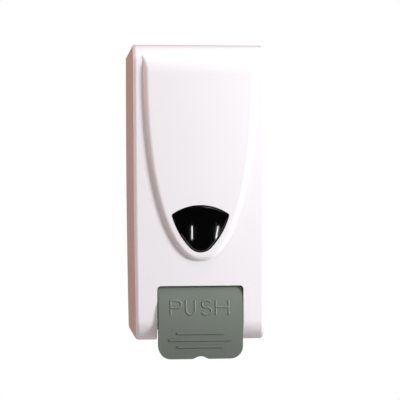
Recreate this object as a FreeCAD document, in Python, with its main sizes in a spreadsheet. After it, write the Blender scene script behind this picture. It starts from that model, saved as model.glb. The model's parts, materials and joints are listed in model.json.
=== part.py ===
import FreeCAD, Part
import math
import os
import Sketcher

# Wall mounted push-lever soap dispenser. Millimetres, +Z up, front toward -Y, wall plane y = 0.
# The origin is the middle of the wall screw pattern on the wall face.

V = FreeCAD.Vector
doc = FreeCAD.newDocument("SoapDispenser")
os.makedirs("parts", exist_ok=True)

SIZES = {
    # cover shell
    "cover_top": 125.5,
    "cover_bottom": 125.9,
    "cover_back": 1.5,
    "cover_front": 106.0,
    "panel_front": 109.0,
    "face_half_upper": 56.0,
    "face_half_lower": 53.8,
    "side_flare": 3.7,
    "outline_reach": 140.0,
    "straight_until": 60.0,
    "side_bow_radius": 9100.0,
    "wall": 2.4,
    "top_radius": 20.0,
    "panel_top_radius": 26.0,
    "bottom_radius": 17.0,
    "edge_radius": 3.0,
    # cover hinge
    "hinge_depth": 9.5,
    "hinge_drop": 117.9,
    "hinge_pin_radius": 2.0,
    "hinge_bore_radius": 2.06,
    "hinge_boss_radius": 5.0,
    "hinge_round": 8.0,
    # raised shield panel
    "panel_half": 47.9,
    "panel_centre": 102.7,
    "panel_reach": 161.6,
    "panel_slope": 2.6,
    "crest_radius": 4.5,
    # window
    "window_top_radius": 41.5,
    "window_side_radius": 66.0,
    "window_tip_radius": 12.5,
    "window_corner_radius": 2.2,
    "lens_gap": 0.15,
    "flange_margin": 3.0,
    "bezel_low": 0.9,
    "bezel_high": 2.0,
    # lever
    "opening_half": 36.4,
    "opening_top": 79.4,
    "lever_half": 35.6,
    "lever_top": 80.1,
    "lever_bottom": 141.0,
    "lever_wall": 2.6,
    "lever_corner": 10.5,
    "pivot_depth": 84.0,
    "pivot_drop": 68.0,
    "pivot_pin_radius": 2.0,
    "pivot_bore_radius": 2.06,
    "pivot_boss_radius": 5.2,
    "nose_radius": 4.0,
    # pump
    "pump_drop": 100.0,
    "piston_radius": 7.9,
    "barrel_bore_radius": 8.05,
    "barrel_radius": 11.0,
    "shoulder_radius": 14.0,
    "port_depth": 50.0,
    "head_radius": 13.6,
    # back plate
    "plate_half": 53.5,
    "plate_top": 116.8,
    "plate_bottom": 110.0,
    "plate_thick": 3.0,
    "rim_depth": 12.0,
    "slot_half_width": 2.6,
    "slot_length": 9.0,
    "slot_side": 42.0,
    "slot_height": 75.0,
    # reservoir
    "tank_half": 47.0,
    "tank_back": 14.0,
    "tank_front": 90.0,
    "tank_bottom": 61.0,
    "tank_top": 84.0,
    "tank_wall": 1.6,
    "tank_round": 9.0,
    "mouth_radius": 24.0,
    "neck_radius": 13.0,
    # lock
    "lock_depth": 22.0,
    "lock_radius": 6.5,
    "plug_radius": 4.4,
}

sheet = doc.addObject("Spreadsheet::Sheet", "Sizes")
for row, (alias, value) in enumerate(SIZES.items(), start=1):
    sheet.set(f"A{row}", alias)
    sheet.set(f"B{row}", str(value))
    sheet.setAlias(f"B{row}", alias)
doc.recompute()


def num(term):
    """The number behind a size: an alias, an alias with a minus sign, or a plain number."""
    if isinstance(term, str):
        return -SIZES[term[1:]] if term[0] == "-" else SIZES[term]
    return float(term)


def bind(obj, prop, term):
    """Tie a property to the size table, or set it when the size is local to one piece."""
    setattr(obj, prop, num(term))
    if isinstance(term, str):
        sign = "-" if term[0] == "-" else ""
        obj.setExpression(prop, f"{sign}Sizes.{term.lstrip('-')}")


ALONG = {
    "x": FreeCAD.Rotation(V(0, 1, 0), 90),
    "y": FreeCAD.Rotation(V(1, 0, 0), -90),
    "z": FreeCAD.Rotation(),
}
PLANES = {
    "yz": (FreeCAD.Rotation(V(1, 1, 1), 120), V(1, 0, 0)),
    "xz": (FreeCAD.Rotation(V(1, 0, 0), 90), V(0, -1, 0)),
    "xy": (FreeCAD.Rotation(), V(0, 0, 1)),
}


def cyl(name, radius, length, axis, at):
    body = doc.addObject("Part::Cylinder", name)
    bind(body, "Radius", radius)
    bind(body, "Height", length)
    body.Placement = FreeCAD.Placement(V(*at), ALONG[axis])
    return body


def box(name, low, high):
    body = doc.addObject("Part::Box", name)
    body.Length = high[0] - low[0]
    body.Width = high[1] - low[1]
    body.Height = high[2] - low[2]
    body.Placement.Base = V(*low)
    return body


def tube(name, outer, inner, length, axis, at):
    wall = cyl(name + "_wall", outer, length, axis, at)
    bore = cyl(name + "_bore", inner, length, axis, at)
    return cut(name, wall, [bore])


def fuse(name, shapes):
    body = doc.addObject("Part::MultiFuse", name)
    body.Shapes = shapes
    body.Refine = True
    return body


def common(name, shapes):
    body = doc.addObject("Part::MultiCommon", name)
    body.Shapes = shapes
    return body


def cut(name, base, tools):
    tool = tools[0] if len(tools) == 1 else fuse(name + "_tools", tools)
    body = doc.addObject("Part::Cut", name)
    body.Base = base
    body.Tool = tool
    body.Refine = True
    return body


def group(name, shapes):
    body = doc.addObject("Part::Compound", name)
    body.Links = shapes
    return body


def mirrored(name, source):
    body = doc.addObject("Part::Mirroring", name)
    body.Source = source
    body.Normal = V(1, 0, 0)
    return body


def outline(name, plane, corners, offset=0.0):
    """A closed sketch. A corner is (u, v), or (u, v, radius, turn) when the edge leaving it is an arc."""
    sketch = doc.addObject("Sketcher::SketchObject", name)
    turn, normal = PLANES[plane]
    sketch.Placement = FreeCAD.Placement(normal * offset, turn)
    count = len(corners)
    ends = []
    for index, corner in enumerate(corners):
        after = corners[(index + 1) % count]
        start = V(num(corner[0]), num(corner[1]), 0)
        end = V(num(after[0]), num(after[1]), 0)
        if len(corner) == 2:
            edge = sketch.addGeometry(Part.LineSegment(start, end), False)
            ends.append((edge, 1, 2))
            continue
        radius = num(corner[2])
        chord = end - start
        left = V(-chord.y, chord.x, 0).normalize()
        rise = math.sqrt(max(radius**2 - chord.Length**2 / 4, 0.0))
        centre = (start + end) * 0.5 + left * rise * corner[3]
        first, last = (start, end) if corner[3] > 0 else (end, start)
        angles = [math.atan2(p.y - centre.y, p.x - centre.x) for p in (first, last)]
        circle = Part.Circle(centre, V(0, 0, 1), radius)
        edge = sketch.addGeometry(Part.ArcOfCircle(circle, angles[0], angles[1]), False)
        ends.append((edge, 1, 2) if corner[3] > 0 else (edge, 2, 1))
        spot = sketch.addConstraint(Sketcher.Constraint("Radius", edge, radius))
        if isinstance(corner[2], str):
            sketch.setExpression(f"Constraints[{spot}]", f"Sizes.{corner[2]}")
    for index, (edge, first, _) in enumerate(ends):
        before = ends[index - 1]
        sketch.addConstraint(Sketcher.Constraint("Coincident", before[0], before[2], edge, first))
        for kind, axis, term in (("DistanceX", -2, corners[index][0]), ("DistanceY", -1, corners[index][1])):
            if abs(num(term)) < 1e-9:
                sketch.addConstraint(Sketcher.Constraint("PointOnObject", edge, first, axis))
                continue
            rule = Sketcher.Constraint(kind, -1, 1, edge, first, num(term))
            spot = sketch.addConstraint(rule)
            if isinstance(term, str):
                sign = "-" if term[0] == "-" else ""
                sketch.setExpression(f"Constraints[{spot}]", f"{sign}Sizes.{term.lstrip('-')}")
    return sketch


def prism(name, sketch, length, both=False):
    body = doc.addObject("Part::Extrusion", name)
    body.Base = sketch
    body.DirMode = "Normal"
    body.Solid = True
    body.Symmetric = both
    bind(body, "LengthFwd", length)
    return body


def swollen(name, sketch, margin):
    """The same outline moved outward by a margin, or inward when it is negative."""
    wire = doc.addObject("Part::Offset2D", name)
    wire.Source = sketch
    wire.Join = 0
    bind(wire, "Value", margin)
    return wire


def loft(name, sections):
    body = doc.addObject("Part::Loft", name)
    body.Sections = sections
    body.Solid = True
    body.Ruled = True
    return body


def rounded(name, base, radius, wanted):
    """Fillet every edge of the base that the test accepts."""
    doc.recompute()
    edges = [i for i, edge in enumerate(base.Shape.Edges, start=1) if wanted(edge)]
    body = doc.addObject("Part::Fillet", name)
    body.Base = base
    body.Edges = [(i, num(radius), num(radius)) for i in edges]
    return body


NODES = []


def node(name, body):
    body.Label = name
    NODES.append((name, body))
    return body


# ---------------------------------------------------------------- cover shell
HINGE = (-SIZES["hinge_depth"], -SIZES["hinge_drop"])


def face_outline(name, inset, flare, depth):
    upper = SIZES["face_half_upper"] - inset + flare
    lower = SIZES["face_half_lower"] - inset + flare
    points = [
        (-upper, "straight_until", "side_bow_radius", 1),
        (-lower, "-outline_reach"),
        (lower, "-outline_reach", "side_bow_radius", 1),
        (upper, "straight_until"),
        (upper, "outline_reach"),
        (-upper, "outline_reach"),
    ]
    return outline(name, "xz", points, depth)


def side_outline(name, inset, front, radius, back):
    """Profile of the shell seen from its side: rounded top front, bottom front and hinge corners."""
    top = SIZES["cover_top"] - inset
    bottom = SIZES["cover_bottom"] - inset
    low = SIZES["bottom_radius"] - inset
    pivot = SIZES["hinge_round"] - inset
    y0, z0 = HINGE
    points = [
        (-front + radius, top, radius, 1),
        (-front, top - radius),
        (-front, -bottom + low, low, 1),
        (-front + low, -bottom),
        (y0, -bottom, pivot, 1),
        (y0 + pivot, z0),
    ]
    if back > -SIZES["cover_back"]:
        points.append((back, z0))
    points.append((back, top))
    return outline(name, "yz", points)


def panel_wire(name, half, reach, depth):
    """Shield outline: straight sides above, a slightly squared ellipse below."""
    centre = SIZES["panel_centre"]
    power = 2 / 2.15
    curve = []
    for step in range(-12, 13):
        angle = math.radians(step * 7.5)
        x = math.copysign(abs(math.sin(angle)) ** power, angle) * half
        z = centre - reach * max(math.cos(angle), 0.0) ** power
        curve.append(V(x, -depth, z))
    spline = Part.BSplineCurve()
    spline.interpolate(curve)
    top = SIZES["outline_reach"]
    corners = [V(half, -depth, centre), V(half, -depth, top), V(-half, -depth, top), V(-half, -depth, centre)]
    lines = [Part.makeLine(corners[i], corners[i + 1]) for i in range(3)]
    wire = doc.addObject("Part::Feature", name)
    wire.Shape = Part.Wire([spline.toShape()] + lines)
    return wire


def raised_panel(name, inset, front, radius):
    """The raised shield: a sloping band round it, and a top that runs into the shell's top curve."""
    half = SIZES["panel_half"] - inset
    reach = SIZES["panel_reach"] - inset
    foot = SIZES["cover_front"] - inset
    slope = SIZES["panel_slope"]
    crest = panel_wire(name + "_crest", half - slope, reach - slope, front)
    base = panel_wire(name + "_foot", half, reach, foot)
    deep = panel_wire(name + "_deep", half + 1.5, reach + 1.5, foot - 14)
    band = loft(name + "_band", [base, crest])
    root = loft(name + "_root", [deep, base])
    block = fuse(name + "_block", [band, root])
    profile = side_outline(name + "_profile", inset, front, radius, -60.0)
    limit = prism(name + "_limit", profile, 130.0, both=True)
    return common(name, [block, limit])


def shell_block(name, inset, back):
    flare = SIZES["side_flare"]
    front = SIZES["cover_front"]
    near = face_outline(name + "_near", inset, 0.0, front)
    far = face_outline(name + "_far", inset, flare, 0.0)
    if back > 0:
        far = face_outline(name + "_far2", inset, flare * (front + back) / front, -back)
    sides = loft(name + "_sides", [far, near])
    profile = side_outline(name + "_profile", inset, front - inset, SIZES["top_radius"] - inset, back)
    limit = prism(name + "_limit", profile, 140.0, both=True)
    return common(name, [sides, limit])


def on_side(edge):
    ends = [vertex.Point for vertex in edge.Vertexes]
    at_side = all(abs(p.x) > 50 for p in ends)
    at_back = all(p.y > -1.6 for p in ends)
    return at_side and not at_back


def on_crest(edge):
    """The panel's front outline, and the short edges that carry it up the top curve."""
    first, last = edge.Vertexes[0].Point, edge.Vertexes[-1].Point
    middle = edge.valueAt((edge.FirstParameter + edge.LastParameter) / 2)
    level = abs(first.z - last.z) < 0.5 and abs(first.z - middle.z) < 0.5
    return middle.y < -106.3 and not level


outer_block = shell_block("outer_block", 0.0, -SIZES["cover_back"])
outer_shell = rounded("outer_shell", outer_block, "edge_radius", on_side)
sharp_panel = raised_panel("sharp_panel", 0.0, SIZES["panel_front"], SIZES["panel_top_radius"])
outer_panel = rounded("outer_panel", sharp_panel, "crest_radius", on_crest)
inner_block = shell_block("inner_block", SIZES["wall"], 5.0)
inner_panel = raised_panel(
    "inner_panel", SIZES["wall"], SIZES["panel_front"] - SIZES["wall"], SIZES["panel_top_radius"] - SIZES["wall"]
)

# Window outline: a small shield with a bowed top edge and a rounded tip.
WINDOW = [
    (-23.2, -18.5, "window_corner_radius", 1),
    (-24.2, -20.9, "window_side_radius", 1),
    (-9.2, -47.3, "window_tip_radius", 1),
    (9.2, -47.3, "window_side_radius", 1),
    (24.2, -20.9, "window_corner_radius", 1),
    (23.2, -18.5, "window_top_radius", 1),
]


def window_prism(name, margin, start, length):
    base = outline(name + "_outline", "xz", WINDOW, start)
    if margin:
        base = swollen(name + "_swollen", base, margin)
    return prism(name, base, length)


window_hole = window_prism("window_hole", 0.0, 100.0, 20.0)
window_seat = window_prism("window_seat", 3.3, 98.0, 8.6)

opening_front = outline(
    "opening_front",
    "xz",
    [
        ("-opening_half", "-outline_reach"),
        ("opening_half", "-outline_reach"),
        ("opening_half", -SIZES["opening_top"] - 3.0, 3.0, 1),
        (SIZES["opening_half"] - 3.0, "-opening_top"),
        (3.0 - SIZES["opening_half"], "-opening_top", 3.0, 1),
        ("-opening_half", -SIZES["opening_top"] - 3.0),
    ],
    12.0,
)
opening = prism("opening", opening_front, 120.0)

# Lock seat in the top wall, hinge bosses low at the back, screw posts above the window.
LOCK_Y = -SIZES["lock_depth"]
lock_pad = cyl("lock_pad", 13.0, 4.6, "z", (0, LOCK_Y, 119.5))
lock_recess = cyl("lock_recess", 9.3, 3.0, "z", (0, LOCK_Y, 123.9))
lock_hole = cyl("lock_hole", "lock_radius", 20.0, "z", (0, LOCK_Y, 112.0))
extras = [lock_pad]
holes = [window_hole, window_seat, opening, lock_recess, lock_hole]
for side in (-1, 1):
    mark = "right" if side > 0 else "left"
    x_low = 50.3 if side > 0 else -56.0
    boss = cyl("hinge_boss_" + mark, "hinge_boss_radius", 5.7, "x", (x_low, *HINGE))
    web = box("hinge_web_" + mark, (x_low, -12.5, -124.4), (x_low + 5.7, -6.5, -117.9))
    extras += [boss, web]
    bore_low = 50.0 if side > 0 else -54.7
    holes.append(cyl("hinge_bore_" + mark, "hinge_bore_radius", 4.7, "x", (bore_low, *HINGE)))
    notch_low = 43.3 if side > 0 else -50.3
    holes.append(box("lug_notch_" + mark, (notch_low, -17.5, -127.4), (notch_low + 7.0, 1.0, -106.0)))
    post = cyl("window_post_" + mark, 3.2, 2.9, "y", (side * 15.0, -106.9, -6.6))
    extras.append(post)
    holes.append(cyl("window_post_bore_" + mark, 1.2, 3.0, "y", (side * 15.0, -107.0, -6.6)))
    for z_rib in (-40.0, 20.0, 80.0):
        low = (52.4, -99.0, z_rib) if side > 0 else (-54.5, -99.0, z_rib)
        extras.append(box(f"side_rib_{mark}_{int(z_rib + 40)}", low, (low[0] + 2.1, -84.0, z_rib + 2.0)))

shell_outer = fuse("shell_outer", [outer_shell, outer_panel])
shell_hollow = cut("shell_hollow", shell_outer, [inner_block, inner_panel])
shell_built = fuse("shell_built", [shell_hollow] + extras)
node("front_cover", cut("front_cover_solid", shell_built, holes))

# ---------------------------------------------------------------- window
lens_flange = window_prism("lens_flange", "flange_margin", 104.0, 1.6)
lens_wall = window_prism("lens_wall", "-lens_gap", 104.0, 4.9)
bevel_foot = swollen("bevel_foot", outline("bevel_foot_outline", "xz", WINDOW, 108.8), "-bezel_low")
bevel_top = swollen("bevel_top", outline("bevel_top_outline", "xz", WINDOW, 109.9), "-bezel_high")
lens_bevel = loft("lens_bevel", [bevel_foot, bevel_top])
lens_middle = window_prism("lens_middle", "-bezel_high", 108.0, 4.0)
lens_dome_block = fuse("lens_dome_block", [lens_bevel, lens_middle])
lens_ball = doc.addObject("Part::Sphere", "lens_ball")
lens_ball.Radius = 150.0
lens_ball.Placement.Base = V(0, 39.0, -29.0)
lens_dome = common("lens_dome", [lens_dome_block, lens_ball])
node("window_lens", fuse("lens_solid", [lens_flange, lens_wall, lens_dome]))

gasket_outer = window_prism("gasket_outer", "flange_margin", 105.6, 1.0)
gasket_inner = window_prism("gasket_inner", 0.4, 105.0, 3.0)
node("window_gasket", cut("gasket_solid", gasket_outer, [gasket_inner]))

retainer_outer = window_prism("retainer_outer", "flange_margin", 102.4, 1.6)
retainer_inner = window_prism("retainer_inner", -1.0, 101.0, 4.0)
ears = [box("retainer_bar", (-18.5, -104.0, -16.0), (18.5, -102.4, -10.0))]
ear_bores = []
for side in (-1, 1):
    mark = "right" if side > 0 else "left"
    ears.append(cyl("ear_pad_" + mark, 3.6, 1.6, "y", (side * 15.0, -104.0, -6.6)))
    ears.append(box("ear_neck_" + mark, (side * 15 - 3.6, -104.0, -13.0), (side * 15 + 3.6, -102.4, -6.6)))
    ear_bores.append(cyl("ear_bore_" + mark, 1.2, 3.0, "y", (side * 15.0, -105.0, -6.6)))
retainer_body = fuse("retainer_body", [retainer_outer] + ears)
node("window_retainer", cut("retainer_solid", retainer_body, [retainer_inner] + ear_bores))

screws = []
for side in (-1, 1):
    mark = "right" if side > 0 else "left"
    head = cyl("window_screw_head_" + mark, 2.5, 1.4, "y", (side * 15.0, -102.4, -6.6))
    shank = cyl("window_screw_shank_" + mark, 1.2, 4.2, "y", (side * 15.0, -106.6, -6.6))
    drive = box("window_screw_drive_" + mark, (side * 15 - 1.6, -101.5, -6.9), (side * 15 + 1.6, -100.9, -6.3))
    screws.append(cut("window_screw_" + mark, fuse("window_screw_body_" + mark, [head, shank]), [drive]))
node("window_screws", group("window_screw_pair", screws))

# ---------------------------------------------------------------- lock
lock_tube = cyl("lock_tube", "lock_radius", 9.4, "z", (0, LOCK_Y, 115.2))
lock_flange = cyl("lock_flange", 9.0, 1.3, "z", (0, LOCK_Y, 123.9))
lock_bore = cyl("lock_bore", 4.46, 12.0, "z", (0, LOCK_Y, 114.5))
node("lock_housing", cut("lock_housing_solid", fuse("lock_housing_body", [lock_tube, lock_flange]), [lock_bore]))

nut_points = [(10.0 * math.cos(k * math.pi / 3), 10.0 * math.sin(k * math.pi / 3) + LOCK_Y) for k in range(6)]
nut_block = prism("nut_block", outline("nut_outline", "xy", nut_points, 116.3), 3.2)
nut_bore = cyl("nut_bore", "lock_radius", 6.0, "z", (0, LOCK_Y, 115.0))
node("lock_nut", cut("lock_nut_solid", nut_block, [nut_bore]))

plug_rod = cyl("plug_rod", "plug_radius", 10.9, "z", (0, LOCK_Y, 114.2))
keyway = box("keyway", (-0.6, LOCK_Y - 3.0, 119.0), (0.6, LOCK_Y + 3.0, 126.0))
plug_thread = cyl("plug_thread", 1.5, 5.0, "z", (0, LOCK_Y, 114.0))
node("lock_plug", cut("lock_plug_solid", plug_rod, [keyway, plug_thread]))


def sector_point(radius, degrees):
    angle = math.radians(degrees)
    return radius * math.cos(angle), radius * math.sin(angle) + LOCK_Y


hook_outer = outline(
    "hook_outer",
    "xy",
    [
        (*sector_point(17.8, -25), 17.8, 1),
        (*sector_point(17.8, 22),),
        (*sector_point(14.8, 22), 14.8, -1),
        (*sector_point(14.8, -5),),
        (*sector_point(4.0, 15),),
        (*sector_point(4.0, -45),),
    ],
    111.7,
)
tongue_arm = prism("tongue_arm", hook_outer, 2.5)
tongue_hub = cyl("tongue_hub", 5.6, 2.5, "z", (0, LOCK_Y, 111.7))
tongue_bore = cyl("tongue_bore", 1.5, 6.0, "z", (0, LOCK_Y, 110.0))
node("lock_tongue", cut("lock_tongue_solid", fuse("tongue_body", [tongue_arm, tongue_hub]), [tongue_bore]))

lock_screw_head = cyl("lock_screw_head", 3.0, 1.4, "z", (0, LOCK_Y, 110.3))
lock_screw_shank = cyl("lock_screw_shank", 1.5, 7.0, "z", (0, LOCK_Y, 111.0))
lock_screw_slot = box("lock_screw_slot", (-2.2, LOCK_Y - 0.3, 110.0), (2.2, LOCK_Y + 0.3, 110.9))
lock_screw_body = fuse("lock_screw_body", [lock_screw_head, lock_screw_shank])
node("lock_screw", cut("lock_screw_solid", lock_screw_body, [lock_screw_slot]))

# ---------------------------------------------------------------- back plate


def slot_block(name, centre, radius, depths):
    """A round-ended block along X, used for a wall slot and for the boss round it."""
    reach = SIZES["slot_length"] / 2 - SIZES["slot_half_width"]
    x, z = centre
    low, high = depths
    parts = [cyl(f"{name}_end_{i}", radius, high - low, "y", (x + i * reach, low, z)) for i in (-1, 1)]
    grip = num(radius)
    parts.append(box(name + "_mid", (x - reach, low, z - grip), (x + reach, high, z + grip)))
    return fuse(name, parts)


plate_points = [
    (-SIZES["plate_half"], -SIZES["plate_bottom"]),
    ("plate_half", "-plate_bottom"),
    ("plate_half", SIZES["plate_top"] - 8.0, 8.0, 1),
    (SIZES["plate_half"] - 8.0, "plate_top"),
    (8.0 - SIZES["plate_half"], "plate_top", 8.0, 1),
    ("-plate_half", SIZES["plate_top"] - 8.0),
]
plate_sketch = outline("plate_outline", "xz", plate_points, 0.0)
plate_slab = prism("plate_slab", plate_sketch, "plate_thick")
rim_outer = prism("rim_outer", plate_sketch, "rim_depth")
rim_inner = prism("rim_inner", swollen("rim_inset", plate_sketch, -2.0), 20.0)
plate_rim = cut("plate_rim", rim_outer, [rim_inner])
low_gap = box("rim_low_gap", (-60.0, -20.0, -112.0), (60.0, -3.0, -106.5))
rim_open = cut("rim_open", plate_rim, [low_gap])
mount_block = box("mount_block", (-30.0, -7.0, -106.0), (30.0, -2.5, -62.0))
plate_lip = box("plate_lip", (-40.0, -1.2, -117.5), (40.0, 0.0, -109.0))
plate_adds = [rim_open, mount_block, plate_lip]
plate_cuts = []
for x_rib in (-24.0, 0.0, 24.0):
    plate_adds.append(box(f"plate_rib_{int(x_rib + 24)}", (x_rib - 1, -7.0, -62.0), (x_rib + 1, -2.5, 100.0)))
for z_rib in (10.0, 60.0):
    plate_adds.append(box(f"plate_cross_rib_{int(z_rib)}", (-52.0, -7.0, z_rib - 1), (52.0, -2.5, z_rib + 1)))
strike_tab = box("strike_tab", (-10.0, -12.0, 104.0), (-2.0, -9.5, 115.5))
strike_web = box("strike_web", (-10.0, -12.0, 104.0), (-7.3, -2.5, 115.5))
plate_adds += [strike_tab, strike_web]
for side in (-1, 1):
    mark = "right" if side > 0 else "left"
    low = 44.0 if side > 0 else -49.9
    plate_adds.append(box("lug_block_" + mark, (low, -9.5, -122.9), (low + 5.9, 0.0, -109.0)))
    plate_adds.append(cyl("lug_round_" + mark, "hinge_boss_radius", 5.9, "x", (low, *HINGE)))
    plate_cuts.append(cyl("lug_bore_" + mark, "hinge_pin_radius", 7.0, "x", (low - 0.5, *HINGE)))
    for level in (-1, 1):
        tag = mark + ("_upper" if level > 0 else "_lower")
        x0, z0 = side * SIZES["slot_side"], level * SIZES["slot_height"]
        plate_adds.append(slot_block("slot_boss_" + tag, (x0, z0), 6.0, (-5.0, -2.5)))
        plate_cuts.append(slot_block("slot_cut_" + tag, (x0, z0), "slot_half_width", (-10.0, 2.0)))
SCREW_SPOTS = [(x, z) for x in (-17.0, 17.0) for z in (-72.0, -98.0)]
for index, (x, z) in enumerate(SCREW_SPOTS):
    plate_cuts.append(cyl(f"plate_screw_bore_{index}", 1.9, 6.5, "y", (x, -8.0, z)))
plate_body = fuse("plate_body", [plate_slab] + plate_adds)
node("back_plate", cut("back_plate_solid", plate_body, plate_cuts))

pins = [
    cyl("hinge_pin_right", "hinge_pin_radius", 10.0, "x", (44.2, *HINGE)),
    cyl("hinge_pin_left", "hinge_pin_radius", 10.0, "x", (-54.2, *HINGE)),
]
node("cover_hinge_pins", group("hinge_pin_pair", pins))

# ---------------------------------------------------------------- pump bracket
PIVOT = (-SIZES["pivot_depth"], -SIZES["pivot_drop"])
PUMP_Z = -SIZES["pump_drop"]
PORT_Y = -SIZES["port_depth"]
cheek_points = [
    (-7.0, -106.0),
    (-7.0, -63.0),
    (-76.0, -63.0),
    (PIVOT[0], PIVOT[1] + 5.2),
    (PIVOT[0], PIVOT[1] - 5.2),
    (-42.0, -86.0),
    (-18.0, -106.0),
]
cheek_slab = prism("cheek_slab", outline("cheek_outline", "yz", cheek_points, 26.0), 4.0)
cheek_boss = cyl("cheek_boss", "pivot_boss_radius", 4.0, "x", (26.0, *PIVOT))
cheek_right = fuse("cheek_right", [cheek_slab, cheek_boss])
bracket_flange = box("bracket_flange", (-30.0, -10.0, -106.0), (30.0, -7.0, -61.0))
shelf_slab = box("shelf_slab", (-48.0, -76.0, -64.0), (48.0, -7.0, -61.0))
shelf_round = cyl("shelf_round", 18.5, 10.0, "z", (0, PORT_Y, -68.0))
shelf_mouth = box("shelf_mouth", (-18.5, -80.0, -68.0), (18.5, PORT_Y, -58.0))
shelf = cut("shelf", shelf_slab, [shelf_round, shelf_mouth])
fence_left = box("fence_left", (-49.5, -76.0, -64.0), (-47.6, -7.0, -52.0))
fence_right = box("fence_right", (47.6, -76.0, -64.0), (49.5, -7.0, -52.0))
bracket_parts = [bracket_flange, cheek_right, mirrored("cheek_left", cheek_right), shelf, fence_left, fence_right]
bracket_holes = [cyl("pivot_hole", "pivot_pin_radius", 80.0, "x", (-40.0, *PIVOT))]
for index, (x, z) in enumerate(SCREW_SPOTS):
    bracket_holes.append(cyl(f"bracket_screw_hole_{index}", 1.9, 6.0, "y", (x, -12.0, z)))
node("pump_bracket", cut("pump_bracket_solid", fuse("bracket_body", bracket_parts), bracket_holes))

bracket_screws = []
for index, (x, z) in enumerate(SCREW_SPOTS):
    head = cyl(f"bracket_screw_head_{index}", 4.0, 2.4, "y", (x, -12.4, z))
    shank = cyl(f"bracket_screw_shank_{index}", 1.9, 8.4, "y", (x, -10.2, z))
    slot_a = box(f"bracket_screw_slot_a_{index}", (x - 2.6, -12.6, z - 0.5), (x + 2.6, -11.2, z + 0.5))
    slot_b = box(f"bracket_screw_slot_b_{index}", (x - 0.5, -12.6, z - 2.6), (x + 0.5, -11.2, z + 2.6))
    whole = fuse(f"bracket_screw_body_{index}", [head, shank])
    bracket_screws.append(cut(f"bracket_screw_{index}", whole, [slot_a, slot_b]))
node("bracket_screws", group("bracket_screw_set", bracket_screws))

node("lever_pivot_pin", cyl("pivot_pin_rod", "pivot_pin_radius", 74.0, "x", (-37.0, *PIVOT)))
clips = []
for low in (-36.4, 35.6):
    clip = tube(f"clip_{int(low)}", 3.8, "pivot_pin_radius", 0.8, "x", (low, *PIVOT))
    gap = box(f"clip_gap_{int(low)}", (low - 0.5, PIVOT[0] - 1.2, PIVOT[1] - 6.0), (low + 1.5, PIVOT[0] + 1.2, PIVOT[1]))
    clips.append(cut(f"clip_open_{int(low)}", clip, [gap]))
node("pivot_clips", group("pivot_clip_pair", clips))


def coil(name, radius, wire, height, turns, place, left_handed=False):
    path = doc.addObject("Part::Helix", name + "_path")
    path.Radius = radius
    path.Height = height
    path.Pitch = height / turns
    path.SegmentLength = 1.0
    path.LocalCoord = "Left-handed" if left_handed else "Right-handed"
    path.Placement = place
    ring = doc.addObject("Part::Circle", name + "_section")
    ring.Radius = wire
    ring.Placement = place.multiply(FreeCAD.Placement(V(radius, 0, 0), FreeCAD.Rotation(V(1, 0, 0), 90)))
    sweep = doc.addObject("Part::Sweep", name)
    sweep.Sections = [ring]
    sweep.Spine = path
    sweep.Solid = True
    sweep.Frenet = True
    return sweep


# Return springs: coils on the pivot pin, one leg under the shelf and one behind the lever face.
start_angle = math.radians(155.0)
first_dir = V(0, math.cos(start_angle), math.sin(start_angle))
leg_dir = V(0, -math.sin(start_angle), math.cos(start_angle))
axes = FreeCAD.Rotation(first_dir, V(1, 0, 0).cross(first_dir), V(1, 0, 0), "XZY")
spring_place = FreeCAD.Placement(V(18.6, *PIVOT), axes)
spring_coil = coil("spring_coil", 3.4, 0.6, 6.3, 4 + 65.0 / 360, spring_place, left_handed=True)
shelf_leg = cyl("shelf_leg", 0.6, 16.0, "y", (24.9, PIVOT[0] - 0.4, PIVOT[1] + 3.4))
lever_leg = doc.addObject("Part::Cylinder", "lever_leg")
lever_leg.Radius = 0.6
lever_leg.Height = 27.0
leg_start = V(18.6, PIVOT[0], PIVOT[1]) + first_dir * 3.4
lever_leg.Placement = FreeCAD.Placement(leg_start, FreeCAD.Rotation(V(0, 0, 1), leg_dir))
spring_right = fuse("spring_right", [spring_coil, shelf_leg, lever_leg])
node("lever_return_springs", group("return_spring_pair", [spring_right, mirrored("spring_left", spring_right)]))

# ---------------------------------------------------------------- reservoir


def soft_box(name, low, high, radius):
    return rounded(name, box(name + "_block", low, high), radius, lambda edge: True)


half, wall = SIZES["tank_half"], SIZES["tank_wall"]
tank_low = (-half, -SIZES["tank_front"], -SIZES["tank_bottom"])
tank_high = (half, -SIZES["tank_back"], SIZES["tank_top"])
tank_outer = soft_box("tank_outer", tank_low, tank_high, "tank_round")
hollow_low = tuple(v + wall for v in tank_low)
hollow_high = tuple(v - wall for v in tank_high)
tank_inner = soft_box("tank_inner", hollow_low, hollow_high, SIZES["tank_round"] - wall)
TANK_MID = -52.0
mouth_wall = cyl("mouth_wall", "mouth_radius", 8.0, "z", (0, TANK_MID, 82.5))
mouth_bore = cyl("mouth_bore", 22.0, 20.0, "z", (0, TANK_MID, 75.0))
neck_wall = cyl("neck_wall", "neck_radius", 18.0, "z", (0, PORT_Y, -77.0))
neck_bore = cyl("neck_bore", 10.5, 25.0, "z", (0, PORT_Y, -80.0))
bands = [
    cut(
        f"tank_band_{int(z)}",
        box(f"tank_band_block_{int(z)}", (-35.0, -90.6, z - 1), (35.0, -85.0, z + 1)),
        [box(f"tank_band_inside_{int(z)}", (-36.0, -88.6, z - 2), (36.0, -84.0, z + 2))],
    )
    for z in (-30.0, 0.0, 30.0, 60.0)
]
tank_body = fuse("tank_body", [tank_outer, mouth_wall, neck_wall] + bands)
node("reservoir", cut("reservoir_solid", tank_body, [tank_inner, mouth_bore, neck_bore]))

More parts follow.
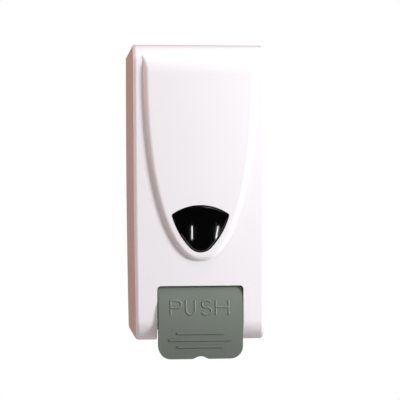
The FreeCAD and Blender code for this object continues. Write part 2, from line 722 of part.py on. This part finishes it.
lid_disc = cyl("lid_disc", 26.0, 7.4, "z", (0, TANK_MID, 85.4))
lid_inside = cyl("lid_inside", "mouth_radius", 5.9, "z", (0, TANK_MID, 85.3))
lid_ribs = []
for k in range(24):
    angle = math.radians(15 * k)
    lid_ribs.append(cyl(f"lid_rib_{k}", 0.8, 6.0, "z", (26 * math.cos(angle), TANK_MID + 26 * math.sin(angle), 85.4)))
node("reservoir_lid", cut("lid_solid", fuse("lid_body", [lid_disc] + lid_ribs), [lid_inside]))
node("reservoir_lid_seal", tube("lid_seal_ring", "mouth_radius", 22.0, 0.7, "z", (0, TANK_MID, 90.5)))

# ---------------------------------------------------------------- pump
nut_outer = cyl("collar_outer", 17.0, 16.0, "z", (0, PORT_Y, -82.0))
collar_ribs = []
for k in range(16):
    angle = math.radians(22.5 * k)
    spot = (17 * math.cos(angle), PORT_Y + 17 * math.sin(angle), -81.0)
    collar_ribs.append(cyl(f"collar_rib_{k}", 0.9, 14.0, "z", spot))
collar_hollow = cyl("collar_hollow", "neck_radius", 16.0, "z", (0, PORT_Y, -80.0))
collar_hole = cyl("collar_hole", 6.5, 10.0, "z", (0, PORT_Y, -85.0))
node("pump_collar_nut", cut("collar_solid", fuse("collar_body", [nut_outer] + collar_ribs), [collar_hollow, collar_hole]))
node("neck_gasket", tube("neck_gasket_ring", 12.4, 8.0, 1.0, "z", (0, PORT_Y, -78.0)))

barrel_front = cyl("barrel_front", "barrel_radius", 14.0, "y", (0, -68.0, PUMP_Z))
barrel_back = cyl("barrel_back", "shoulder_radius", 14.0, "y", (0, -56.0, PUMP_Z))
inlet_tube = cyl("inlet_tube", 5.8, 12.0, "z", (0, PORT_Y, -91.0))
inlet_flange = cyl("inlet_flange", 12.4, 2.0, "z", (0, PORT_Y, -80.0))
outlet_tube = cyl("outlet_tube", 5.5, 17.0, "z", (0, PORT_Y, -127.0))
barrel_bore = cyl("barrel_bore", "barrel_bore_radius", 23.0, "y", (0, -70.0, PUMP_Z))
seat_bore = cyl("seat_bore", 2.0, 8.0, "z", (0, PORT_Y, -84.0))
inlet_bore = cyl("inlet_bore", 3.2, 14.0, "z", (0, PORT_Y, -96.0))
outlet_bore = cyl("outlet_bore", 2.4, 30.0, "z", (0, PORT_Y, -130.0))
pump_solid = fuse("pump_block", [barrel_front, barrel_back, inlet_tube, inlet_flange, outlet_tube])
node("pump_body", cut("pump_body_solid", pump_solid, [barrel_bore, seat_bore, inlet_bore, outlet_bore]))
ball = doc.addObject("Part::Sphere", "check_ball")
ball.Radius = 2.6
ball.Placement.Base = V(0, PORT_Y, -84.0)
node("inlet_valve_ball", ball)

nozzle_wall = cyl("nozzle_wall", 7.2, 10.0, "z", (0, PORT_Y, -127.0))
nozzle_cone = doc.addObject("Part::Cone", "nozzle_cone")
nozzle_cone.Radius1 = 4.6
nozzle_cone.Radius2 = 7.2
nozzle_cone.Height = 5.0
nozzle_cone.Placement.Base = V(0, PORT_Y, -132.0)
nozzle_socket = cyl("nozzle_socket", 5.5, 16.0, "z", (0, PORT_Y, -128.2))
nozzle_bore = cyl("nozzle_bore", 2.6, 10.0, "z", (0, PORT_Y, -135.0))
node("outlet_nozzle", cut("nozzle_solid", fuse("nozzle_body", [nozzle_wall, nozzle_cone]), [nozzle_socket, nozzle_bore]))
valve_disc = cyl("valve_disc", 5.3, 1.2, "z", (0, PORT_Y, -128.2))
valve_bill = doc.addObject("Part::Cone", "valve_bill")
valve_bill.Radius1 = 0.9
valve_bill.Radius2 = 2.2
valve_bill.Height = 3.4
valve_bill.Placement.Base = V(0, PORT_Y, -131.4)
valve_slit = box("valve_slit", (-0.8, PORT_Y - 0.15, -131.6), (0.8, PORT_Y + 0.15, -130.4))
valve_way = cyl("valve_way", 1.0, 1.6, "z", (0, PORT_Y, -128.4))
node("outlet_valve", cut("valve_solid", fuse("valve_body", [valve_disc, valve_bill]), [valve_slit, valve_way]))

piston = cyl("piston", "piston_radius", 5.0, "y", (0, -66.5, PUMP_Z))
stem = cyl("stem", 5.0, 12.0, "y", (0, -78.0, PUMP_Z))
head = cyl("plunger_head", "head_radius", 2.5, "y", (0, -79.9, PUMP_Z))
seal_groove = tube("seal_groove", 9.0, 6.2, 1.8, "y", (0, -64.9, PUMP_Z))
node("pump_plunger", cut("plunger_solid", fuse("plunger_body", [piston, stem, head]), [seal_groove]))
seal = doc.addObject("Part::Torus", "plunger_seal_ring")
seal.Radius1 = 7.1
seal.Radius2 = 0.9
seal.Placement = FreeCAD.Placement(V(0, -64.0, PUMP_Z), ALONG["y"])
node("plunger_seal", seal)
back_turn = FreeCAD.Placement(V(0, -56.85, PUMP_Z), FreeCAD.Rotation(V(1, 0, 0), 90))
node("plunger_spring", coil("plunger_spring_coil", 12.2, 0.8, 19.7, 5.0, back_turn))

# ---------------------------------------------------------------- push lever
FACE = [(-103.3, -79.4), (-108.6, -112.0), (-106.3, -141.0)]


def arc_radius(points):
    (ax, ay), (bx, by), (cx, cy) = points
    circle = Part.Circle(V(ax, ay, 0), V(bx, by, 0), V(cx, cy, 0))
    return circle.Radius


FACE_RADIUS = arc_radius(FACE)


def lever_profile(name, inset, back):
    top, low = FACE[0], FACE[2]
    points = [
        (back, top[1] + 1.0),
        (top[0] + inset, top[1] + 1.0),
        (top[0] + inset, top[1], FACE_RADIUS - inset, 1),
        (low[0] + inset, low[1]),
        (low[0] + inset, low[1] - 1.0),
        (back, low[1] - 1.0),
    ]
    return prism(name, outline(name + "_outline", "yz", points), 80.0, both=True)


def lever_outline(name, inset):
    side = SIZES["lever_half"] - inset
    low = -SIZES["lever_bottom"] + inset
    top = -SIZES["lever_top"] - inset
    corner = SIZES["lever_corner"] - inset
    small = max(3.0 - inset, 0.8)
    points = [
        (-side + corner, low),
        (-8.0, low, 7.0, 1),
        (-4.28, low + 1.07, 8.05, -1),
        (4.28, low + 1.07, 7.0, 1),
        (8.0, low),
        (side - corner, low, corner, 1),
        (side, low + corner),
        (side, top - small, small, 1),
        (side - small, top),
        (-side + small, top, small, 1),
        (-side, top - small),
        (-side, low + corner, corner, 1),
    ]
    return prism(name, outline(name + "_outline", "xz", points, 90.0), 30.0)


lever_block = common("lever_block", [lever_profile("lever_faces", 0.0, -98.0), lever_outline("lever_edges", 0.0)])
lever_wall = SIZES["lever_wall"]
lever_hollow = common(
    "lever_hollow", [lever_profile("hollow_faces", lever_wall, -90.0), lever_outline("hollow_edges", lever_wall)]
)
lever_tray = cut("lever_tray", lever_block, [lever_hollow])
ear_points = [
    (-102.6, -82.5),
    (PIVOT[0] - 2.5, PIVOT[1] + 4.5),
    (PIVOT[0] + 3.8, PIVOT[1] - 3.6),
    (-99.0, -101.0),
    (-106.0, -101.0),
]
ear_slab = prism("ear_slab", outline("ear_outline", "yz", ear_points, 31.0), 3.6)
ear_ring = cyl("ear_ring", "pivot_boss_radius", 3.6, "x", (31.0, *PIVOT))
ear_right = fuse("ear_right", [ear_slab, ear_ring])
web_points = [(-105.2, -92.0), (-84.0, -96.2), (-84.0, -103.8), (-106.8, -108.0)]
web_right = prism("web_right", outline("web_outline", "yz", web_points, 6.0), 2.5)
nose = cyl("nose", "nose_radius", 17.0, "x", (-8.5, PIVOT[0], PUMP_Z))
seat_right = box("seat_right", (16.6, -104.4, -92.5), (20.6, -99.5, -87.0))
grips = []
for z_grip, half_grip in ((-119.0, 20.0), (-124.6, 26.5), (-130.4, 19.5)):
    bar = box(f"grip_{int(-z_grip)}", (-half_grip, -112.0, z_grip - 0.9), (half_grip, -105.0, z_grip + 0.9))
    grips.append(bar)
grip_limit = lever_profile("grip_limit", -0.7, -103.0)
grip_bars = common("grip_bars", [fuse("grip_block", grips), grip_limit])
lever_all = [lever_tray, nose, grip_bars]
for piece in (ear_right, web_right, seat_right):
    lever_all += [piece, mirrored(piece.Name.replace("right", "left"), piece)]
lever_bore = cyl("lever_bore", "pivot_bore_radius", 80.0, "x", (-40.0, *PIVOT))
node("push_lever", cut("push_lever_solid", fuse("lever_body", lever_all), [lever_bore]))

# ---------------------------------------------------------------- check and write
doc.recompute()
for body in doc.Objects:
    bad = [state for state in body.State if state in ("Invalid", "Error")]
    if bad:
        raise RuntimeError(f"{body.Name} ({body.Label}) is {bad}")
for name, body in NODES:
    shape = body.Shape
    if shape.isNull() or not shape.isValid() or not shape.Solids:
        raise RuntimeError(f"{name} has no valid solid")
    shape.exportStep(f"parts/{name}.step")
    size = shape.optimalBoundingBox()
    print(
        f"{name:22s} solids {len(shape.Solids)} volume {shape.Volume:10.1f}"
        f"  x {size.XMin:.1f} {size.XMax:.1f}  y {size.YMin:.1f} {size.YMax:.1f}  z {size.ZMin:.1f} {size.ZMax:.1f}"
    )
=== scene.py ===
import json
import math

import bpy
from mathutils import Matrix, Vector

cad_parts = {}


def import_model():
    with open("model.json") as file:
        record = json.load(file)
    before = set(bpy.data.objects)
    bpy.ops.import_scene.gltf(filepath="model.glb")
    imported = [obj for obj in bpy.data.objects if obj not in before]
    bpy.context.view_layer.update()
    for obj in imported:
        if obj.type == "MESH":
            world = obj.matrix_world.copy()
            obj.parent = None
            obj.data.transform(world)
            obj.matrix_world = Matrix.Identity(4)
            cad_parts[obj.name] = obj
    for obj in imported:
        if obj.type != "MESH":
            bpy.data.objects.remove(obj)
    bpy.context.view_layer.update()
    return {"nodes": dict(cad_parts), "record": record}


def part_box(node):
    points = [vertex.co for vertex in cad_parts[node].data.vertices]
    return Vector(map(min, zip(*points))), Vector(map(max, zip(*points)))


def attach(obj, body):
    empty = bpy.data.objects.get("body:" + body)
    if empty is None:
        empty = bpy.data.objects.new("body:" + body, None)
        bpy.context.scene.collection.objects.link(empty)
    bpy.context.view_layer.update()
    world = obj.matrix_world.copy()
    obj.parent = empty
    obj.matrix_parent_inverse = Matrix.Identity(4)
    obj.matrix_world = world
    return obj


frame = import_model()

NODES = frame["nodes"]
MM = 0.001

# Noise scales, per metre, and bump depths, in metres.
DRIFT_SCALE = 14.0
PATCH_SCALE = 60.0
BRUSH_SCALE = 900.0
MOULDED_DEPTH = 0.0002
BRUSHED_DEPTH = 0.0001
BRUSHED_STRENGTH = 0.15
# The part of a noise texture's range that holds nearly all of it.
NOISE_LOW, NOISE_HIGH = 0.3, 0.7

# ------------------------------------------------------------------ materials


def nodes_of(material):
    """The material's node tree and its main shader."""
    material.use_nodes = True
    tree = material.node_tree
    shader = tree.nodes["Principled BSDF"]
    return tree, shader


def noise(tree, scale, detail=2.0, stretch=(1, 1, 1)):
    """Noise in the object's own space, so that it moves with the piece."""
    place = tree.nodes.new("ShaderNodeTexCoord")
    mapping = tree.nodes.new("ShaderNodeMapping")
    mapping.inputs["Scale"].default_value = stretch
    texture = tree.nodes.new("ShaderNodeTexNoise")
    texture.inputs["Scale"].default_value = scale
    texture.inputs["Detail"].default_value = detail
    tree.links.new(place.outputs["Object"], mapping.inputs["Vector"])
    tree.links.new(mapping.outputs["Vector"], texture.inputs["Vector"])
    return texture


def ramp(tree, source, low, high):
    """A two-colour ramp driven by a texture's factor."""
    blend = tree.nodes.new("ShaderNodeValToRGB")
    blend.color_ramp.elements[0].position = NOISE_LOW
    blend.color_ramp.elements[1].position = NOISE_HIGH
    blend.color_ramp.elements[0].color = (*low, 1)
    blend.color_ramp.elements[1].color = (*high, 1)
    tree.links.new(source.outputs["Fac"], blend.inputs["Fac"])
    return blend


def spread(tree, source, low, high):
    """Maps a texture's factor to a range."""
    step = tree.nodes.new("ShaderNodeMapRange")
    step.inputs["From Min"].default_value = NOISE_LOW
    step.inputs["From Max"].default_value = NOISE_HIGH
    step.inputs["To Min"].default_value = low
    step.inputs["To Max"].default_value = high
    tree.links.new(source.outputs["Fac"], step.inputs["Value"])
    return step


def bump(tree, shader, source, strength, distance):
    """Raises the surface by a texture's factor."""
    relief = tree.nodes.new("ShaderNodeBump")
    relief.inputs["Strength"].default_value = strength
    relief.inputs["Distance"].default_value = distance
    tree.links.new(source.outputs["Fac"], relief.inputs["Height"])
    tree.links.new(relief.outputs["Normal"], shader.inputs["Normal"])


def moulded(name, low, high, rough, grain, relief, **fixed):
    """Moulded plastic or rubber: slight colour drift, uneven gloss and a fine surface grain."""
    material = bpy.data.materials.new(name)
    tree, shader = nodes_of(material)
    drift = noise(tree, DRIFT_SCALE, 3.0)
    tree.links.new(ramp(tree, drift, low, high).outputs["Color"], shader.inputs["Base Color"])
    patches = noise(tree, PATCH_SCALE, 4.0)
    tree.links.new(spread(tree, patches, *rough).outputs["Result"], shader.inputs["Roughness"])
    bump(tree, shader, noise(tree, grain), relief, MOULDED_DEPTH)
    for socket, value in fixed.items():
        shader.inputs[socket.replace("_", " ")].default_value = value
    return material


def metal(name, low, high, rough, stretch):
    """Metal with a drawn or brushed grain along one axis."""
    material = bpy.data.materials.new(name)
    tree, shader = nodes_of(material)
    shader.inputs["Metallic"].default_value = 1.0
    grain = noise(tree, BRUSH_SCALE, 3.0, stretch)
    tree.links.new(ramp(tree, grain, low, high).outputs["Color"], shader.inputs["Base Color"])
    tree.links.new(spread(tree, grain, *rough).outputs["Result"], shader.inputs["Roughness"])
    bump(tree, shader, grain, BRUSHED_STRENGTH, BRUSHED_DEPTH)
    return material


def grey(value):
    return (value, value, value)


MATERIALS = {
    "white_plastic": moulded(
        "white_plastic", (0.868, 0.85, 0.872), (0.876, 0.86, 0.88), (0.28, 0.31), 1400.0, 0.02,
        Coat_Weight=0.25, Coat_Roughness=0.12,
    ),
    "lever_plastic": moulded(
        "lever_plastic", (0.15, 0.178, 0.15), (0.17, 0.2, 0.171), (0.42, 0.52), 2200.0, 0.3,
        Specular_IOR_Level=0.45,
    ),
    "smoked_lens": moulded(
        "smoked_lens", grey(0.0006), grey(0.0012), (0.05, 0.08), 500.0, 0.01,
        Coat_Weight=1.0, Coat_Roughness=0.03,
    ),
    "grey_plastic": moulded("grey_plastic", grey(0.5), (0.56, 0.56, 0.57), (0.42, 0.52), 1500.0, 0.2),
    "dark_plastic": moulded("dark_plastic", grey(0.035), grey(0.055), (0.35, 0.45), 1500.0, 0.2),
    "natural_plastic": moulded(
        "natural_plastic", (0.68, 0.68, 0.63), (0.75, 0.75, 0.71), (0.3, 0.4), 900.0, 0.1,
        Subsurface_Weight=0.2, Subsurface_Scale=0.003,
    ),
    "tank_plastic": moulded(
        "tank_plastic", (0.74, 0.77, 0.78), (0.82, 0.84, 0.84), (0.34, 0.46), 300.0, 0.15,
        Transmission_Weight=0.25, Subsurface_Weight=0.2, Subsurface_Scale=0.004,
    ),
    "rubber": moulded("rubber", grey(0.02), grey(0.035), (0.6, 0.75), 2600.0, 0.3),
    "stainless": metal("stainless", grey(0.5), grey(0.66), (0.2, 0.34), (0.05, 1, 1)),
    "spring_steel": metal("spring_steel", grey(0.42), grey(0.56), (0.22, 0.36), (1, 1, 1)),
    "zinc_steel": metal("zinc_steel", (0.55, 0.57, 0.6), (0.68, 0.69, 0.71), (0.25, 0.38), (1, 1, 1)),
    "lock_metal": metal("lock_metal", grey(0.6), grey(0.75), (0.12, 0.22), (1, 1, 0.1)),
}

for part in frame["record"]["subparts"]:
    node = NODES[part["node"]]
    node.data.materials.clear()
    node.data.materials.append(MATERIALS[part["material_slot"]])

# ------------------------------------------------------------------ operating legend on the lever

# Depth and height of three points on the lever's face, top, middle and foot, in millimetres.
LEVER_FACE = [Vector((-103.3, -79.4)), Vector((-108.6, -112.0)), Vector((-106.3, -141.0))]


def circle_through(a, b, c):
    """Centre and radius of the circle through three points."""
    d = 2 * (a.x * (b.y - c.y) + b.x * (c.y - a.y) + c.x * (a.y - b.y))
    aa, bb, cc = a.length_squared, b.length_squared, c.length_squared
    x = (aa * (b.y - c.y) + bb * (c.y - a.y) + cc * (a.y - b.y)) / d
    y = (aa * (c.x - b.x) + bb * (a.x - c.x) + cc * (b.x - a.x)) / d
    centre = Vector((x, y))
    return centre, (a - centre).length


FACE_CENTRE, FACE_RADIUS = circle_through(*LEVER_FACE)


def face_y(z):
    """Depth of the lever's face at a height, in millimetres."""
    return FACE_CENTRE.x - math.sqrt(FACE_RADIUS**2 - (z - FACE_CENTRE.y) ** 2)


def line(*points):
    """Straight runs through the points."""
    return [Vector(p) for p in points]


def arc(centre, radii, start, end, steps=14):
    """Points along an ellipse, between two angles in degrees."""
    cx, cy = centre
    angles = [math.radians(start + (end - start) * i / steps) for i in range(steps + 1)]
    return [Vector((cx + radii[0] * math.cos(a), cy + radii[1] * math.sin(a))) for a in angles]


# Each stroke is drawn in a letter box 0..1 wide and 0..1 tall.
LETTERS = [
    [
        line((0, 0), (0, 1)),
        line((0, 1), (0.55, 1)) + arc((0.55, 0.74), (0.45, 0.26), 90, -90) + line((0.55, 0.48), (0, 0.48)),
    ],
    [line((0, 1), (0, 0.38)) + arc((0.5, 0.38), (0.5, 0.38), 180, 360) + line((1, 0.38), (1, 1))],
    [arc((0.5, 0.74), (0.46, 0.26), 25, 270) + arc((0.5, 0.25), (0.48, 0.25), 90, -155)],
    [line((0, 0), (0, 1)), line((1, 0), (1, 1)), line((0, 0.52), (1, 0.52))],
]
# Left and right edge of each letter's box, in millimetres.
LETTER_BOXES = [(-25.4, -16.5), (-12.4, -4.9), (0.7, 9.1), (12.8, 23.5)]
LEGEND_LOW, LEGEND_HIGH = -103.6, -91.8
STROKE_RADIUS = 1.0
STROKE_SUNK = 0.45


def legend():
    """Raised single-stroke letters that follow the lever's curved face."""
    curve = bpy.data.curves.new("lever_legend", "CURVE")
    curve.dimensions = "3D"
    curve.bevel_depth = STROKE_RADIUS * MM
    curve.bevel_resolution = 4
    curve.use_fill_caps = True
    for (left, right), strokes in zip(LETTER_BOXES, LETTERS):
        for stroke in strokes:
            spline = curve.splines.new("POLY")
            spline.points.add(len(stroke) - 1)
            for point, spot in zip(spline.points, stroke):
                x = left + spot.x * (right - left)
                z = LEGEND_LOW + spot.y * (LEGEND_HIGH - LEGEND_LOW)
                point.co = (x * MM, (face_y(z) + STROKE_SUNK) * MM, z * MM, 1)
    piece = bpy.data.objects.new("lever_legend", curve)
    bpy.context.scene.collection.objects.link(piece)
    curve.materials.append(MATERIALS["lever_plastic"])
    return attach(piece, "lever")


legend()

# ------------------------------------------------------------------ stage, light and camera

FLOOR_Z = -0.95
FLOOR_RADIUS = 1.35
FLOOR_SIDES = 96
# Heights on the unit sphere between which the world's light grows.
WORLD_LOW, WORLD_HIGH = -0.6, 0.8
# The strip lights that show as two lines in the window, in metres.
STRIP_DISTANCE = 1.5
STRIP_DROP = 0.155
STRIP_SIZE = (0.02, 0.25)
STRIP_POWER = 0.25


def floor():
    """A plain pale disc, below the picture."""
    mesh = bpy.data.meshes.new("floor")
    turns = [math.tau * i / FLOOR_SIDES for i in range(FLOOR_SIDES)]
    ring = [(FLOOR_RADIUS * math.cos(turn), FLOOR_RADIUS * math.sin(turn), FLOOR_Z) for turn in turns]
    mesh.from_pydata(ring, [], [list(range(FLOOR_SIDES))])
    disc = bpy.data.objects.new("floor", mesh)
    bpy.context.scene.collection.objects.link(disc)
    mesh.materials.append(moulded("pale_floor", grey(0.78), grey(0.82), (0.6, 0.7), 40.0, 0.05))


def lamp(name, spot, target, size, power, colour=(1, 1, 1)):
    """A soft rectangular light that the camera doesn't see."""
    light = bpy.data.lights.new(name, "AREA")
    light.shape = "RECTANGLE"
    light.size, light.size_y = size
    light.energy = power
    light.color = colour
    holder = bpy.data.objects.new(name, light)
    bpy.context.scene.collection.objects.link(holder)
    holder.visible_camera = False
    holder.location = spot
    holder.rotation_euler = (Vector(target) - Vector(spot)).to_track_quat("-Z", "Y").to_euler()
    return holder


def world(below, above, gloss, colour):
    """White behind the object for the camera, light that grows toward the top, and a dim room
    in its gloss."""
    scene_world = bpy.data.worlds.new("studio")
    bpy.context.scene.world = scene_world
    scene_world.use_nodes = True
    tree = scene_world.node_tree
    path = tree.nodes.new("ShaderNodeLightPath")
    place = tree.nodes.new("ShaderNodeTexCoord")
    split = tree.nodes.new("ShaderNodeSeparateXYZ")
    rise = tree.nodes.new("ShaderNodeMapRange")
    rise.inputs["From Min"].default_value = WORLD_LOW
    rise.inputs["From Max"].default_value = WORLD_HIGH
    rise.inputs["To Min"].default_value = below
    rise.inputs["To Max"].default_value = above
    last = tree.nodes["Background"]
    last.inputs["Color"].default_value = (*colour, 1)
    tree.links.new(place.outputs["Generated"], split.inputs["Vector"])
    tree.links.new(split.outputs["Z"], rise.inputs["Value"])
    tree.links.new(rise.outputs["Result"], last.inputs["Strength"])
    for ray, tint, power in (("Is Glossy Ray", colour, gloss), ("Is Camera Ray", (1, 1, 1), 1.0)):
        layer = tree.nodes.new("ShaderNodeBackground")
        layer.inputs["Color"].default_value = (*tint, 1)
        layer.inputs["Strength"].default_value = power
        mix = tree.nodes.new("ShaderNodeMixShader")
        tree.links.new(path.outputs[ray], mix.inputs["Fac"])
        tree.links.new(last.outputs[0], mix.inputs[1])
        tree.links.new(layer.outputs["Background"], mix.inputs[2])
        last = mix
    tree.links.new(last.outputs[0], tree.nodes["World Output"].inputs["Surface"])


def camera(azimuth, roll, distance, lens, aim):
    """A level camera that looks at aim from an azimuth in degrees."""
    view = bpy.data.cameras.new("camera")
    view.lens = lens
    view.clip_start = 0.05
    holder = bpy.data.objects.new("camera", view)
    bpy.context.scene.collection.objects.link(holder)
    turn = math.radians(azimuth)
    away = Vector((math.sin(turn), -math.cos(turn), 0))
    holder.location = Vector(aim) + away * distance
    look = (-away).to_track_quat("-Z", "Y").to_matrix().to_4x4()
    tilt = Matrix.Rotation(math.radians(roll), 4, "Z")
    holder.matrix_world = Matrix.Translation(holder.location) @ look @ tilt
    bpy.context.scene.camera = holder


floor()
world(0.05, 0.42, 0.012, (1.0, 0.97, 1.0))
lamp("key", (0.75, -0.5, 0.22), (0, -0.05, -0.02), (0.22, 0.3), 10.6, (0.985, 0.985, 1.0))
lamp("top", (0.1, -0.45, 1.0), (0, -0.09, 0.1), (0.5, 0.35), 3.0)
lamp("front_warm", (-0.9, -0.75, 0.15), (0, -0.1, 0.03), (0.6, 0.6), 1.5, (1.0, 0.72, 0.62))
lamp("left_warm", (-1.05, 0.1, 0.42), (-0.05, -0.05, 0.0), (0.4, 0.6), 6.0, (1.0, 0.44, 0.26))
LENS_LOW, LENS_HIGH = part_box("window_lens")
LENS_MIDDLE = (LENS_LOW + LENS_HIGH) / 2
for side, azimuth, lean in (("left", -1.3, 0.0), ("right", 16.6, -12.0)):
    turn = math.radians(azimuth)
    away = Vector((math.sin(turn) * STRIP_DISTANCE, -math.cos(turn) * STRIP_DISTANCE, -STRIP_DROP))
    strip = lamp("strip_" + side, LENS_MIDDLE + away, LENS_MIDDLE, STRIP_SIZE, STRIP_POWER)
    strip.rotation_euler.rotate_axis("Z", math.radians(lean))
camera(-5.0, -0.2, 1.01, 108.0, (-0.0002, -0.106, -0.0072))

display = bpy.context.scene.view_settings
display.view_transform = "Standard"
display.look = "None"
